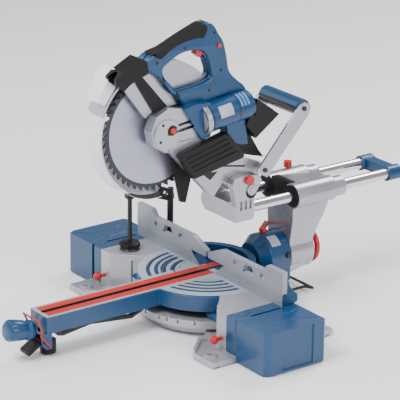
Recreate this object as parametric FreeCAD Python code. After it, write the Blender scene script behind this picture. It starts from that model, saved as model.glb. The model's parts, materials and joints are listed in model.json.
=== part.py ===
"""Cordless sliding compound mitre saw, 254 mm blade, standing on its own bench base.

Millimetres. X to the operator's right, Y away from the operator, Z up. The origin is on the
bench plane under the turntable axis; the front face of the fence is the plane y = 0.
Each named part is written to parts/NAME.step.
"""
import FreeCAD, Part
import os
from math import atan2, cos, degrees, radians, sin, tan

V = FreeCAD.Vector

# ---- driving dimensions -----------------------------------------------------------------
RUN = 0.05            # radial clearance of a shaft turning or sliding in its bore
GAP = 0.5             # daylight between parts that pass each other

TABLE_Z = 91.5        # working surface above the bench
TABLE_R = 145.0       # turntable radius
TOP_T = 3.5           # thickness of the turntable's top plate
SKIRT_Z = 55.0        # underside of the turntable's skirt
HUB_Z = 52.5          # face on which the turntable turns
PIVOT_R = 8.0         # turntable bolt

ARM_HALF = 30.5       # half width of the front arm
ARM_FRONT = -415.0
ARM_Z = 54.5          # underside of the front arm
WELL_HALF = 17.0      # half width of the saw-dust well under the kerf plates
WELL_Z = 68.0
SLOT_HALF = 3.0       # half width of the kerf at the table surface
UNDERCUT_HALF = 6.5   # the same under the plates, for a tilted blade
KERF_T = 3.0
KERF_HALF = 25.0
KERF_FRONT = -407.0
KERF_REAR_LEFT = 38.0
KERF_REAR_RIGHT = 2.0

BASE_X = 221.5        # outer side of the base casting
CAP_X = 256.0         # outer side of the end caps
BASE_FRONT = -116.0
BASE_REAR = 35.0
FOOT_T = 3.0
FLOOR_Z = 14.0
EAR_FRONT = -174.0
EAR_REAR = 133.0
BOLT_X = 222.0        # bench bolt holes
BOLT_FRONT = -155.0
BOLT_REAR = 108.0
BOLT_R = 5.0
SOCKET_X = 190.0      # clamp sockets
SOCKET_Y = 42.0
SOCKET_Z = 62.0
POST_R = 7.0

EXT_X = 351.5         # outer end of an extension, pushed home
EXT_ROD_R = 7.0
EXT_ROD_Z = 46.0
EXT_ROD_Y = (-75.0, 5.0)

FENCE_Z = 118.0       # top of the fixed fence
FENCE_T = 22.0
FENCE_UPPER_T = 12.0
FENCE_UPPER_Z = 151.0

DRUM_R = 50.0         # bevel drum behind the turntable
DRUM_FRONT = 113.0
DRUM_REAR = 188.0
BEVEL_BOLT_R = 10.0
ARM_DRUM_R = DRUM_R - 6.0     # round foot of the bevel arm
ARM_DRUM_REAR = 254.0
WHEEL_R = 34.0        # ring-shaped bevel handle
WHEEL_BAR_R = 6.0

RAIL_X = 43.0         # slide rails
RAIL_Z = 228.0
RAIL_R = 12.0
RAIL_FRONT = 36.0
RAIL_REAR = 476.0
CAP_FRONT = RAIL_REAR - 28.0     # cap across the back ends of the rails
CAP_REAR = RAIL_REAR + 6.0
BUSH_R = RAIL_R + 5.0
BARREL_R = BUSH_R + 10.0
CARRIAGE_FRONT = 188.0
CARRIAGE_REAR = 320.0
SUPPORT_FRONT = 28.0
SUPPORT_REAR = 74.0

PIVOT_Y = 65.5        # axis about which the head swings
PIVOT_Z = 276.0
PIVOT_SHAFT_R = 8.0
LUG_R = 22.0
CHEEK_IN = 44.0       # inner face of the right cheek
CHEEK_OUT = 62.0
CHEEK_LEFT_IN = -34.0
CHEEK_LEFT_OUT = -46.0

SPINDLE_Y = -135.0    # blade axis with the head raised
SPINDLE_Z = 422.0
BLADE_R = 127.0
BLADE_T = 2.8
SPINDLE_R = 12.0
GUARD_IN = 136.5      # rim of the swinging guard
GUARD_OUT = 141.0
HOUSING_IN = 143.0    # rim of the fixed blade housing
HOUSING_OUT = 147.0
NEAR_X = 14.5         # blade-side face of the gearcase
HOUSING_LEFT = -39.0  # far face of the fixed blade housing
GUARD_LEFT = -33.0    # far face of the swinging guard
GUARD_RIGHT = 12.0
GUARD_WALL = 2.5
GUARD_START = 165.0   # where the swinging guard begins and how far it reaches round the blade
GUARD_SWEEP = 115.0

MOTOR_X = 36.0
MOTOR_R = 31.0
MOTOR_START = (-50.0, 437.0)
MOTOR_END = (64.0, 451.0)

HANDLE_LEFT = 0.0
HANDLE_RIGHT = 32.0
HANDLE_SPLIT = 15.0

CARRY_Y = 184.0       # carrying handle
CARRY_Z = 431.0
CARRY_R = 18.5
BRACKET_IN = 63.0
BRACKET_OUT = 69.0
TIE_Y = 98.0          # tie bar that carries the two brackets
TIE_Z = 312.0
TIE_R = 6.0

CLAMP_X = -190.0
CLAMP_Y = -64.0
CLAMP_SCREW_R = 5.0

KNOB_TILT = 11.5      # the locking knob rises towards the operator
KNOB_Y = -415.0
KNOB_Z = 55.5

parts = {}


# ---- building blocks --------------------------------------------------------------------
def box(x0, x1, y0, y1, z0, z1):
    return Part.makeBox(x1 - x0, y1 - y0, z1 - z0, V(x0, y0, z0))


def cyl_x(x0, x1, y, z, r):
    return Part.makeCylinder(r, x1 - x0, V(x0, y, z), V(1, 0, 0))


def cyl_y(y0, y1, x, z, r):
    return Part.makeCylinder(r, y1 - y0, V(x, y0, z), V(0, 1, 0))


def cyl_z(z0, z1, x, y, r):
    return Part.makeCylinder(r, z1 - z0, V(x, y, z0), V(0, 0, 1))


def rod(a, b, r):
    a, b = V(*a), V(*b)
    return Part.makeCylinder(r, (b - a).Length, a, b - a)


def cone_y(y0, y1, x, z, r0, r1):
    return Part.makeCone(r0, r1, y1 - y0, V(x, y0, z), V(0, 1, 0))


def cone_z(z0, z1, x, y, r0, r1):
    return Part.makeCone(r0, r1, z1 - z0, V(x, y, z0), V(0, 0, 1))


def extrude(points, along):
    points = [V(*p) for p in points]
    face = Part.Face(Part.makePolygon(points + points[:1]))
    return face.extrude(V(*along))


def prism_yz(x0, x1, outline):
    return extrude([(x0, y, z) for y, z in outline], (x1 - x0, 0, 0))


def prism_xz(y0, y1, outline):
    return extrude([(x, y0, z) for x, z in outline], (0, y1 - y0, 0))


def prism_xy(z0, z1, outline):
    return extrude([(x, y, z0) for x, y in outline], (0, 0, z1 - z0))


def curved_yz(x0, x1, outline):
    """A prism whose outline is a smooth closed curve through the points."""
    curve = Part.BSplineCurve()
    curve.interpolate([V(x0, y, z) for y, z in outline], PeriodicFlag=True)
    return Part.Face(Part.Wire(curve.toShape())).extrude(V(x1 - x0, 0, 0))


def ring_z(z0, z1, r0, r1, start=0.0, sweep=360.0, x=0.0, y=0.0):
    """An annulus about a vertical axis, over part of the circle if asked."""
    outer = Part.makeCylinder(r1, z1 - z0, V(x, y, z0), V(0, 0, 1), sweep)
    inner = Part.makeCylinder(r0, z1 - z0, V(x, y, z0), V(0, 0, 1), 360)
    outer.rotate(V(x, y, 0), V(0, 0, 1), start)
    return outer.cut(inner)


def ring_x(x0, x1, y, z, r0, r1, start=0.0, sweep=360.0):
    """An annulus about an axis along X; angles run from +Y towards +Z."""
    outer = Part.makeCylinder(r1, x1 - x0, V(x0, y, z), V(1, 0, 0), sweep)
    inner = cyl_x(x0, x1, y, z, r0)
    outer.rotate(V(x0, y, z), V(1, 0, 0), start + X_SEAM)
    return outer.cut(inner)


def find_x_seam():
    """Angle from +Y to where a cylinder along X starts its sweep, turned back to zero."""
    wedge = Part.makeCylinder(1, 1, V(0, 0, 0), V(1, 0, 0), 2)
    centre = wedge.CenterOfMass
    return 1.0 - degrees(atan2(centre.z, centre.y))


X_SEAM = find_x_seam()


def join(*solids):
    whole = solids[0]
    for other in solids[1:]:
        whole = whole.fuse(other)
    return whole.removeSplitter()


def less(solid, *cutters):
    for cutter in cutters:
        solid = solid.cut(cutter)
    return solid


def mirrored(solid):
    return solid.mirror(V(0, 0, 0), V(1, 0, 0))


def polar(y, z, r, angle):
    return y + r * cos(radians(angle)), z + r * sin(radians(angle))


def keep(name, *solids):
    found = [s for shape in solids for s in shape.Solids]
    parts[name] = found[0] if len(found) == 1 else Part.makeCompound(found)


# ---- base -------------------------------------------------------------------------------
def base_half():
    block = prism_xy(8, TABLE_Z, [(112, -57), (134, -66), (190, BASE_FRONT), (BASE_X, BASE_FRONT),
                                  (BASE_X, BASE_REAR), (112, BASE_REAR)])
    floor = prism_xy(FOOT_T, FLOOR_Z, [(0, -62), (113, -82), (133, -105), (147, -130), (190, EAR_FRONT),
                                       (CAP_X, EAR_FRONT), (CAP_X, EAR_REAR), (0, EAR_REAR)])
    kerb = prism_xy(FLOOR_Z, 21, [(147, -130), (190, EAR_FRONT), (197, EAR_FRONT), (160, -134), (158, -117),
                                  (143, -117)])
    front_boss = cyl_z(FLOOR_Z, 18, BOLT_X, BOLT_FRONT, 14)
    socket = cyl_z(SOCKET_Z - 6, TABLE_Z, SOCKET_X, SOCKET_Y, 14)
    half = join(block, floor, kerb, front_boss, socket)
    pocket = prism_xy(FLOOR_Z, TABLE_Z - 9, [(152, -72), (193, BASE_FRONT + 7), (BASE_X - 6, BASE_FRONT + 7),
                                             (BASE_X - 6, BASE_REAR - 7), (152, BASE_REAR - 7)])
    half = less(half, pocket)
    guides = join(*[box(152, 164, y - 12, y + 12, EXT_ROD_Z - 14, TABLE_Z - 9) for y in EXT_ROD_Y])
    half = join(half, guides)
    half = less(half, cyl_z(HUB_Z - 12, TABLE_Z + 1, 0, 0, TABLE_R + GAP))
    half = less(half, *[cyl_x(100, BASE_X + 1, y, EXT_ROD_Z, EXT_ROD_R + RUN) for y in EXT_ROD_Y])
    half = less(half, cyl_z(SOCKET_Z, TABLE_Z + 1, SOCKET_X, SOCKET_Y, POST_R + RUN))
    for y in (BOLT_FRONT, BOLT_REAR):
        half = less(half, cyl_z(FOOT_T - 1, 20, BOLT_X, y, BOLT_R))
    return half


def base_casting():
    half = base_half()
    detent = ring_z(22, 38, 118, 156, 190, 160)
    wall = ring_z(FOOT_T, 22, 122, 134, 190, 160)
    floor = ring_z(FOOT_T, 9, 20, 134, 180, 180)
    hub = cyl_z(9, HUB_Z, 0, 0, 30)
    spokes = join(box(-115, 115, -14, 14, 9, 26), box(-14, 14, -125, 0, 9, 26))
    sleeves = join(*[box(s * 34 - 8, s * 34 + 8, 22, EAR_REAR, 9, 18) for s in (-1, 1)])
    whole = join(half, mirrored(half), floor, wall, detent, hub, spokes, sleeves)
    for angle in (0, 15, 22.5, 31.6, 45):
        for side in (-1, 1):
            notch = box(-2.5, 2.5, -160, -151, 29, 39)
            notch.rotate(V(0, 0, 0), V(0, 0, 1), side * angle)
            whole = less(whole, notch)
    whole = less(whole, cyl_z(FOOT_T - 1, 9, 0, 0, 15), cyl_z(8, HUB_Z + 1, 0, 0, PIVOT_R + RUN))
    for side in (-1, 1):
        whole = less(whole, cyl_y(15, EAR_REAR + 1, side * 34, 10, 3 + RUN))
        whole = less(whole, cyl_y(BASE_FRONT - 1, BASE_FRONT + 12, side * 208, 38, 4 + RUN))
    return whole


base = base_casting()


def end_cap():
    cap = box(BASE_X, CAP_X, BASE_FRONT, BASE_REAR, FLOOR_Z, TABLE_Z)
    cap = less(cap, *[cyl_x(BASE_X - 1, CAP_X + 1, y, EXT_ROD_Z, EXT_ROD_R + RUN) for y in EXT_ROD_Y])
    slot = box(CAP_X - 6, CAP_X + 1, -79, -3, TABLE_Z - 14, TABLE_Z + 1)
    edge_front = prism_xy(FLOOR_Z, TABLE_Z, [(CAP_X - 8, BASE_FRONT), (CAP_X, BASE_FRONT),
                                             (CAP_X, BASE_FRONT + 8)])
    return less(cap, slot, edge_front)


def extension():
    outline = [(CAP_X + GAP, BASE_FRONT), (EXT_X - 9, BASE_FRONT), (EXT_X, BASE_FRONT + 14),
               (EXT_X, BASE_REAR - 6), (EXT_X - 5, BASE_REAR), (CAP_X + GAP, BASE_REAR)]
    block = prism_xy(FOOT_T + 0.5, TABLE_Z, outline)
    hollow = box(CAP_X + 8, EXT_X - 8, BASE_FRONT + 7, BASE_REAR - 7, FOOT_T, TABLE_Z - 7)
    panel = box(EXT_X - 2.5, EXT_X + 1, -76, 2.5, 8, TABLE_Z - 1)
    steps = join(prism_xy(TABLE_Z - 1, TABLE_Z + 1, [(270, -102), (273, -102), (284, 3), (276, 17),
                                                     (273, 15), (280, 3)]),
                 prism_xy(TABLE_Z - 1, TABLE_Z + 1, [(329, -101), (332, -99), (314, -74), (319, 1), (334, 24),
                                                     (331, 26), (315, 2), (310, -75)]))
    rods = [cyl_x(110, CAP_X + 9, y, EXT_ROD_Z, EXT_ROD_R) for y in EXT_ROD_Y]
    return join(less(block, hollow, panel, steps), *rods)


def extension_lock():
    stem = cyl_y(-130, BASE_FRONT + 11, 208, 38, 4)
    bead = Part.makeSphere(9, V(208, -135, 38))
    return join(stem, bead)


keep("base_casting", base)
for side, flip in (("right", lambda s: s), ("left", mirrored)):
    keep("extension_" + side, flip(extension()))
    keep("extension_lock_" + side, flip(extension_lock()))
keep("end_caps", end_cap(), mirrored(end_cap()))
keep("rubber_feet", *[cyl_z(0, FOOT_T, sx * 244, y, 10) for sx in (-1, 1) for y in (-160, 120)])

# anti-tip wire drawn out of the back of the base
wire = join(*[rod((s * 34, 70, 10), (s * 34, 238, 10), 3) for s in (-1, 1)],
            *[rod((s * 34, 238, 10), (s * 50, 247, 10), 3) for s in (-1, 1)],
            *[Part.makeSphere(3, V(s * 34, 238, 10)) for s in (-1, 1)],
            *[Part.makeSphere(3, V(s * 50, 247, 10)) for s in (-1, 1)],
            rod((-50, 247, 10), (50, 247, 10), 3))
keep("rear_support_wire", wire)


# ---- fence ------------------------------------------------------------------------------
def fixed_fence():
    lean = [(27, TABLE_Z + GAP), (150, TABLE_Z + GAP), (150, TABLE_Z), (CAP_X - 4, TABLE_Z),
            (CAP_X - 4, FENCE_Z), (58, FENCE_Z)]
    wall = prism_xz(0, FENCE_T, lean)
    buttress = prism_yz(205, CAP_X - 4, [(FENCE_T - 4, TABLE_Z), (28, TABLE_Z), (40, 97), (40, 111),
                                         (32, FENCE_Z),
                                         (FENCE_T - 4, FENCE_Z)])
    groove = box(0, CAP_X, 5 - RUN, 9 + RUN, FENCE_Z - 8 - RUN, FENCE_Z + 1)
    return less(join(wall, buttress), groove)


def sliding_fence():
    low = FENCE_Z + 0.3
    face = prism_xz(0, FENCE_UPPER_T, [(4, low), (CAP_X - 3, low), (CAP_X - 3, 165), (201, 165),
                                       (188, FENCE_UPPER_Z),
                                       (50, FENCE_UPPER_Z), (4, 131)])
    tongue = box(62, CAP_X - 8, 5, 9, FENCE_Z - 8, low + 1)
    rib = prism_yz(205, CAP_X - 5, [(FENCE_UPPER_T - 2, low), (32, low), (20, 132), (FENCE_UPPER_T, 160),
                                    (FENCE_UPPER_T - 2, 160)])
    whole = join(face, tongue, rib)
    holes = [cyl_y(-1, FENCE_UPPER_T + 1, x, 136, 6.5) for x in (95, 184)]
    holes.append(prism_xz(-1, FENCE_UPPER_T + 1, [(121, 127), (160, 127), (152, 145), (129, 145)]))
    return less(whole, *holes)


right_fence = fixed_fence()
bow = ring_z(TABLE_Z + GAP, 115, 88, 102, 7, 166)
keep("fence_casting", join(right_fence, mirrored(right_fence), less(bow, box(-110, 110, -20, 12, 90, 120))))
keep("sliding_fence_right", sliding_fence())
keep("sliding_fence_left", mirrored(sliding_fence()))

# ---- turntable --------------------------------------------------------------------------
well = box(-WELL_HALF, WELL_HALF, ARM_FRONT + 18, 46, WELL_Z, TABLE_Z + 1)
plates_seat = join(box(-KERF_HALF, SLOT_HALF, KERF_FRONT, KERF_REAR_LEFT, TABLE_Z - KERF_T, TABLE_Z + 1),
                   box(-SLOT_HALF, KERF_HALF, KERF_FRONT, KERF_REAR_RIGHT, TABLE_Z - KERF_T, TABLE_Z + 1))
kerf = prism_xz(ARM_FRONT + 5, KERF_REAR_LEFT,
                [(-UNDERCUT_HALF, TABLE_Z - TOP_T - 0.1), (UNDERCUT_HALF, TABLE_Z - TOP_T - 0.1),
                 (SLOT_HALF, TABLE_Z + 0.1),
                 (-SLOT_HALF, TABLE_Z + 0.1)])
drum = join(cone_y(DRUM_FRONT, DRUM_FRONT + 22, 0, TABLE_Z, 34, DRUM_R),
            cyl_y(DRUM_FRONT + 22, DRUM_REAR, 0, TABLE_Z, DRUM_R))


def turntable():
    low = TABLE_Z - TOP_T
    disc = cyl_z(low - 8, low, 0, 0, TABLE_R)
    skirt = ring_z(SKIRT_Z, low, TABLE_R - 6, TABLE_R)
    hub = cyl_z(HUB_Z, low, 0, 0, 28)
    arm = box(-ARM_HALF, ARM_HALF, ARM_FRONT, -20, ARM_Z, low)
    tail = box(-45, 45, 96, DRUM_REAR, 40, low)
    lugs = join(*[prism_yz(s * 20 - 2, s * 20 + 2, [(-421, ARM_Z), (-421, 29), (-412, 18), (-398, 18),
                                                    (-398, ARM_Z),
                                                    (-398, 60), (-414, 60)]) for s in (-1, 1)])
    foot_boss = cyl_z(44, ARM_Z, 0, -394, 11)
    bolt = join(cyl_z(4, 9, 0, 0, 12), cyl_z(8.5, HUB_Z + 1, 0, 0, PIVOT_R))
    knob_boss = knob_axis_rod(0, 15, 10)
    whole = join(disc, skirt, hub, arm, tail, drum, lugs, foot_boss, knob_boss)
    whole = join(less(whole, well, plates_seat), bolt)
    whole = less(whole, cyl_y(DRUM_REAR - 45, DRUM_REAR + 1, 0, TABLE_Z, BEVEL_BOLT_R + RUN))
    whole = less(whole, cyl_z(30, 66, 0, -394, 5 + RUN))
    whole = less(whole, knob_axis_rod(4, 20, 5 + RUN))
    for s in (-1, 1):
        whole = less(whole, cyl_x(s * 20 - 3, s * 20 + 3, -405, 24, 3 + RUN))
        whole = less(whole, cyl_x(s * 20 - 3, s * 20 + 3, -416, 34, 2.5 + RUN))
        for y in kerf_screw_y(s):
            whole = less(whole, cyl_z(TABLE_Z - 12, TABLE_Z, s * 21, y, 2.5))
    return whole


def knob_axis_rod(start, length, r):
    """A cylinder on the knob's tilted axis; start is measured towards the operator."""
    a = radians(KNOB_TILT)
    origin = V(0, KNOB_Y - start * cos(a), KNOB_Z + start * sin(a))
    return Part.makeCylinder(r, length, origin, V(0, cos(a), -sin(a)))


def kerf_screw_y(side):
    rear = -8 if side > 0 else 26
    return (-392, -292, -192, -92, rear)


def kerf_screws():
    return [cyl_z(TABLE_Z - 12, TABLE_Z - 0.4, s * 21, y, 2.5) for s in (-1, 1) for y in kerf_screw_y(s)]


def top_plate():
    low = TABLE_Z - TOP_T
    disc = cyl_z(low, TABLE_Z, 0, 0, TABLE_R)
    rim = box(-ARM_HALF, ARM_HALF, ARM_FRONT, -100, low, TABLE_Z)
    plate = less(join(disc, rim), plates_seat, kerf, drum)
    plate = less(plate, box(-WELL_HALF, WELL_HALF, KERF_FRONT, KERF_REAR_RIGHT, low - 1, TABLE_Z - KERF_T))
    for r, width in ((121.0, 3.5), (95.5, 3.5), (68.5, 3.5)):
        plate = less(plate, ring_z(low - 1, TABLE_Z + 1, r - width / 2, r + width / 2, 182, 66))
    for r, width in ((117.0, 2.0), (93.0, 2.0), (67.5, 2.0)):
        plate = less(plate, ring_z(low - 1, TABLE_Z + 1, r - width / 2, r + width / 2, 294, 62))
    return less(plate, *kerf_screws())


def kerf_plate(side):
    rear = KERF_REAR_RIGHT if side > 0 else KERF_REAR_LEFT
    outer = side * KERF_HALF
    plate = box(min(0, outer), max(0, outer), KERF_FRONT, rear, TABLE_Z - KERF_T, TABLE_Z)
    plate = less(plate, kerf)
    for y in kerf_screw_y(side):
        plate = less(plate, cyl_z(TABLE_Z - KERF_T - 1, TABLE_Z + 1, side * 21, y, 2.5))
    return plate


keep("turntable", turntable())
keep("turntable_top", top_plate())
keep("kerf_plates", kerf_plate(1), kerf_plate(-1))
keep("kerf_screws", *kerf_screws())
keep("detent_bar", prism_yz(-6, 6, [(-374, ARM_Z), (-374, 34), (-362, 31), (-295, 40), (-194, 29), (-166, 40),
                                    (-166, ARM_Z), (-176, ARM_Z), (-178, 42), (-195, 35), (-295, 46), (-364,
                                                                                                       38),
                                    (-368, ARM_Z)]))
knob = join(knob_axis_rod(77, 40, 22), knob_axis_rod(38, 23, 23))
keep("mitre_knob", join(knob, knob_axis_rod(60, 72, 5)))

fork_side = [(-438, 88), (-430, 88), (-419, 66), (-423, 47), (-400, 27), (-400, 21), (-409, 20), (-432, 46),
             (-428, 66), (-440, 84)]
fork = join(*[prism_yz(s * 25.5 - 2, s * 25.5 + 2, fork_side) for s in (-1, 1)],
            box(-27.5, 27.5, -439, -431, 85.5, 89),
            *[cyl_x(min(s * 18.3, s * 26), max(s * 18.3, s * 26), -405, 24, 3) for s in (-1, 1)])
keep("detent_fork", fork)
lever = join(prism_yz(-16.5, 16.5, [(-449, 11), (-450, 18), (-428, 31), (-413.5, 36.5), (-413.5, 31),
                                    (-428, 23)]),
             cyl_x(-21.5, 21.5, -416, 34, 2.5))
keep("detent_lever", lever)
keep("arm_foot", join(cyl_z(3.5, 30, 0, -394, 16.5), cyl_z(30, 64, 0, -394, 5)))

# ---- bevel arm and slide carriage -------------------------------------------------------
upright = less(
    prism_yz(-38, 48, [(DRUM_REAR + GAP, 52), (DRUM_REAR + GAP, 206), (287, 206), (257, 140), (252, 118),
                       (233, 62)]),
    prism_xz(180, 300, [(-39, 40), (-39, 180), (-33, 110), (-33, 40)]),
    prism_xz(180, 300, [(49, 40), (49, 180), (38, 110), (38, 40)]))


def carriage():
    body = join(*[cyl_y(CARRIAGE_FRONT, 290, s * RAIL_X, RAIL_Z, BARREL_R) for s in (-1, 1)],
                *[cyl_y(290, CARRIAGE_REAR, s * RAIL_X, RAIL_Z, 22) for s in (-1, 1)])
    web = prism_yz(-RAIL_X, RAIL_X, [(CARRIAGE_FRONT + 4, 206), (CARRIAGE_FRONT + 4, 252), (300, 246),
                                     (316, 236), (316, 206)])
    whole = join(body, web)
    for s in (-1, 1):
        whole = less(whole, cyl_y(CARRIAGE_FRONT - 1, CARRIAGE_REAR + 1, s * RAIL_X, RAIL_Z, BUSH_R))
    return less(whole, cyl_z(240, 270, -50, 250, 3 + RUN))


slide_carriage = carriage()
rails_space = join(*[cyl_y(CARRIAGE_FRONT - 60, CARRIAGE_REAR + 1, s * RAIL_X, RAIL_Z, BUSH_R) for s in (-1,
                                                                                                         1)])
upright = less(upright, slide_carriage, rails_space)
lower_drum = cyl_y(DRUM_REAR + GAP, ARM_DRUM_REAR, 0, TABLE_Z, ARM_DRUM_R)
keep("bevel_arm", join(upright, lower_drum, cyl_y(DRUM_REAR - 44, 243, 0, TABLE_Z, BEVEL_BOLT_R)))
keep("slide_carriage", slide_carriage)
bushes = [less(cyl_y(y, y + 26, s * RAIL_X, RAIL_Z, BUSH_R),
               cyl_y(y - 1, y + 27, s * RAIL_X, RAIL_Z, RAIL_R + RUN))
                       for s in (-1, 1) for y in (CARRIAGE_FRONT, CARRIAGE_REAR - 26)]
keep("slide_bushes", *bushes, box(-15, 15, CARRIAGE_FRONT + 0.5, CARRIAGE_FRONT + 4, 210, 248))
wheel_y = ARM_DRUM_REAR + 16
wheel = Part.makeTorus(WHEEL_R, WHEEL_BAR_R, V(0, wheel_y, TABLE_Z), V(0, 1, 0))
spokes = [rod((0, wheel_y, TABLE_Z), (WHEEL_R * sin(radians(a)), wheel_y,
                                      TABLE_Z + WHEEL_R * cos(radians(a))), 4.5)
          for a in (0, 120, 240)]
keep("bevel_handle", join(cyl_y(ARM_DRUM_REAR + GAP, wheel_y + 7, 0, TABLE_Z, 12), wheel, *spokes))
keep("bevel_lever", join(cyl_z(TABLE_Z + DRUM_R + GAP, TABLE_Z + DRUM_R + 8, -4, 150, 7),
                         prism_xy(TABLE_Z + DRUM_R + 2, TABLE_Z + DRUM_R + 8,
                                  [(-9, 143), (2, 146), (-30, 186), (-43, 186)])))
keep("slide_lock_knob", join(cyl_z(246, 257, -50, 250, 3), cyl_z(256.5, 269, -50, 250, 9)))

# ---- rails and head support -------------------------------------------------------------
rails = [cyl_y(RAIL_FRONT, RAIL_REAR, s * RAIL_X, RAIL_Z, RAIL_R) for s in (-1, 1)]


def head_support():
    block = box(-50, CHEEK_OUT - 4, SUPPORT_FRONT, SUPPORT_REAR, 206, 243)
    lobes = [cyl_y(SUPPORT_FRONT, SUPPORT_REAR, s * RAIL_X, RAIL_Z, 19) for s in (-1, 1)]
    outline = [(SUPPORT_FRONT, 212), (SUPPORT_FRONT, 240), (17, 292), (21, 303), (45, 307), (84, 301),
               (92, 289),
               (SUPPORT_REAR, 258), (SUPPORT_REAR, 212)]
    low_outline = [(SUPPORT_FRONT, 212), (SUPPORT_FRONT, 240), (40, 284), (52, 293), (80, 293), (90, 284),
                   (SUPPORT_REAR, 258), (SUPPORT_REAR, 212)]
    cheeks = [prism_yz(CHEEK_IN, CHEEK_OUT, outline), prism_yz(CHEEK_LEFT_OUT, CHEEK_LEFT_IN, low_outline)]
    whole = join(block, *lobes, *cheeks)
    slots = [box(CHEEK_OUT - 5, CHEEK_OUT + 1, y, y + 7, 232, 252) for y in (36, 48, 60)]
    whole = less(whole, *slots, *rails, cyl_x(-60, 70, PIVOT_Y, PIVOT_Z, PIVOT_SHAFT_R))
    return less(whole, cyl_x(CHEEK_IN - 1, CHEEK_OUT + 1, 57, 296, 4 + RUN))


keep("slide_rails", *rails)
keep("head_support", head_support())
keep("rail_cap", less(join(*[cyl_y(CAP_FRONT, CAP_REAR, s * RAIL_X, RAIL_Z, RAIL_R + 4.5) for s in (-1, 1)],
                           box(-RAIL_X, RAIL_X, CAP_FRONT + 5, CAP_REAR - 2, 216, 240)), *rails))
keep("pivot_shaft", cyl_x(CHEEK_LEFT_OUT, CHEEK_OUT, PIVOT_Y, PIVOT_Z, PIVOT_SHAFT_R))
keep("return_spring", *[less(cyl_x(x, x + 2.4, PIVOT_Y, PIVOT_Z, 15),
                             cyl_x(x - 1, x + 4, PIVOT_Y, PIVOT_Z, 11))
                        for x in (-33, -30, -27, -24)])
keep("transport_pin", join(cyl_x(47, CHEEK_OUT + 1, 57, 296, 4),
                           cyl_x(CHEEK_OUT + 0.3, CHEEK_OUT + 7, 57, 296, 10)))

# ---- head: arm and gearcase -------------------------------------------------------------
gear_outline = [(-172, 432), (-166, 402), (-138, 384), (-98, 384), (-53, 399), (-97, 470), (-128, 476),
                (-160, 462)]
gearcase = join(prism_yz(NEAR_X, 40, gear_outline), cyl_x(NEAR_X, 44, SPINDLE_Y, SPINDLE_Z, 31),
                cyl_x(6, NEAR_X + 1, SPINDLE_Y, SPINDLE_Z, 26))
slope = atan2(MOTOR_END[1] - MOTOR_START[1], MOTOR_END[0] - MOTOR_START[0])


def motor_axis(y):
    return (MOTOR_X, y, MOTOR_START[1] + (y - MOTOR_START[0]) * tan(slope))


arm_outline = [(-131, 388), (-27, 274), (-19, 267), (8, 300), (40, 276), (PIVOT_Y, PIVOT_Z), (98, 296),
               (106, 306), (104, 320),
               (67, 334), (40, 354), (-50, 402), (-118, 402)]
swing_arm = join(prism_yz(24, CHEEK_IN - GAP, arm_outline),
                 cyl_x(-20, CHEEK_IN - GAP, PIVOT_Y, PIVOT_Z, LUG_R),
                 cyl_x(24, CHEEK_IN - GAP, PIVOT_Y, PIVOT_Z, LUG_R))
swing_arm = less(swing_arm, cyl_x(-30, 60, PIVOT_Y, PIVOT_Z, PIVOT_SHAFT_R + RUN), gearcase)
tie = cyl_x(-60, BRACKET_IN, TIE_Y, TIE_Z, TIE_R)
swing_arm = join(swing_arm, tie)
keep("swing_arm", swing_arm)

cavity = join(cyl_x(21, 40, SPINDLE_Y, SPINDLE_Z, 26), rod(motor_axis(-135), motor_axis(-40), 10))
lock_y, lock_z = -124.0, 430.0
gearcase = less(gearcase, cavity, cyl_x(5, 22, SPINDLE_Y, SPINDLE_Z, SPINDLE_R + RUN),
                cyl_x(39, 42, SPINDLE_Y, SPINDLE_Z, 7 + RUN), cyl_x(39, 45, lock_y, lock_z, 6 + RUN))
keep("gearcase", gearcase)

gearcase_block = join(prism_yz(NEAR_X, 40, gear_outline), cyl_x(NEAR_X, 44, SPINDLE_Y, SPINDLE_Z, 31))
barrel = rod(motor_axis(MOTOR_START[0]), motor_axis(MOTOR_END[0]), MOTOR_R)
housing = prism_yz(20, 50, [(-97, 470), (-53, 399), (-34, 403), (-30, 420), (-34, 474), (-70, 476)])
housing = less(housing, gearcase, cavity, barrel, gearcase_block, swing_arm)
bore = rod(motor_axis(MOTOR_START[0] - 1), motor_axis(MOTOR_END[0] - 5), MOTOR_R - 4)
vent = rod(motor_axis(MOTOR_END[0] - 1), motor_axis(MOTOR_END[0] + 7), MOTOR_R - 3)
foot = less(prism_yz(30, 56, [(4, 424), (49, 426), (58, 372), (38, 374), (6, 390)]), swing_arm)
motor = less(join(housing, barrel, foot, vent), bore, cavity, gearcase_block,
             cyl_x(-60, NEAR_X, SPINDLE_Y, SPINDLE_Z, HOUSING_OUT))
keep("motor_housing", motor)
armature = join(rod(motor_axis(-30), motor_axis(40), 17), rod(motor_axis(-104), motor_axis(48), 5),
                rod(motor_axis(-117), motor_axis(-103), 6.3))
keep("motor_armature", armature)

cover_outline = [(-116, 377), (-108, 384), (-4, 409), (4, 406), (46, 351), (42, 345), (-78, 323), (-88, 326)]
cover = less(prism_yz(CHEEK_IN - GAP, 66, cover_outline), gearcase_block, motor, bore)
keep("ribbed_cover", cover)

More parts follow.
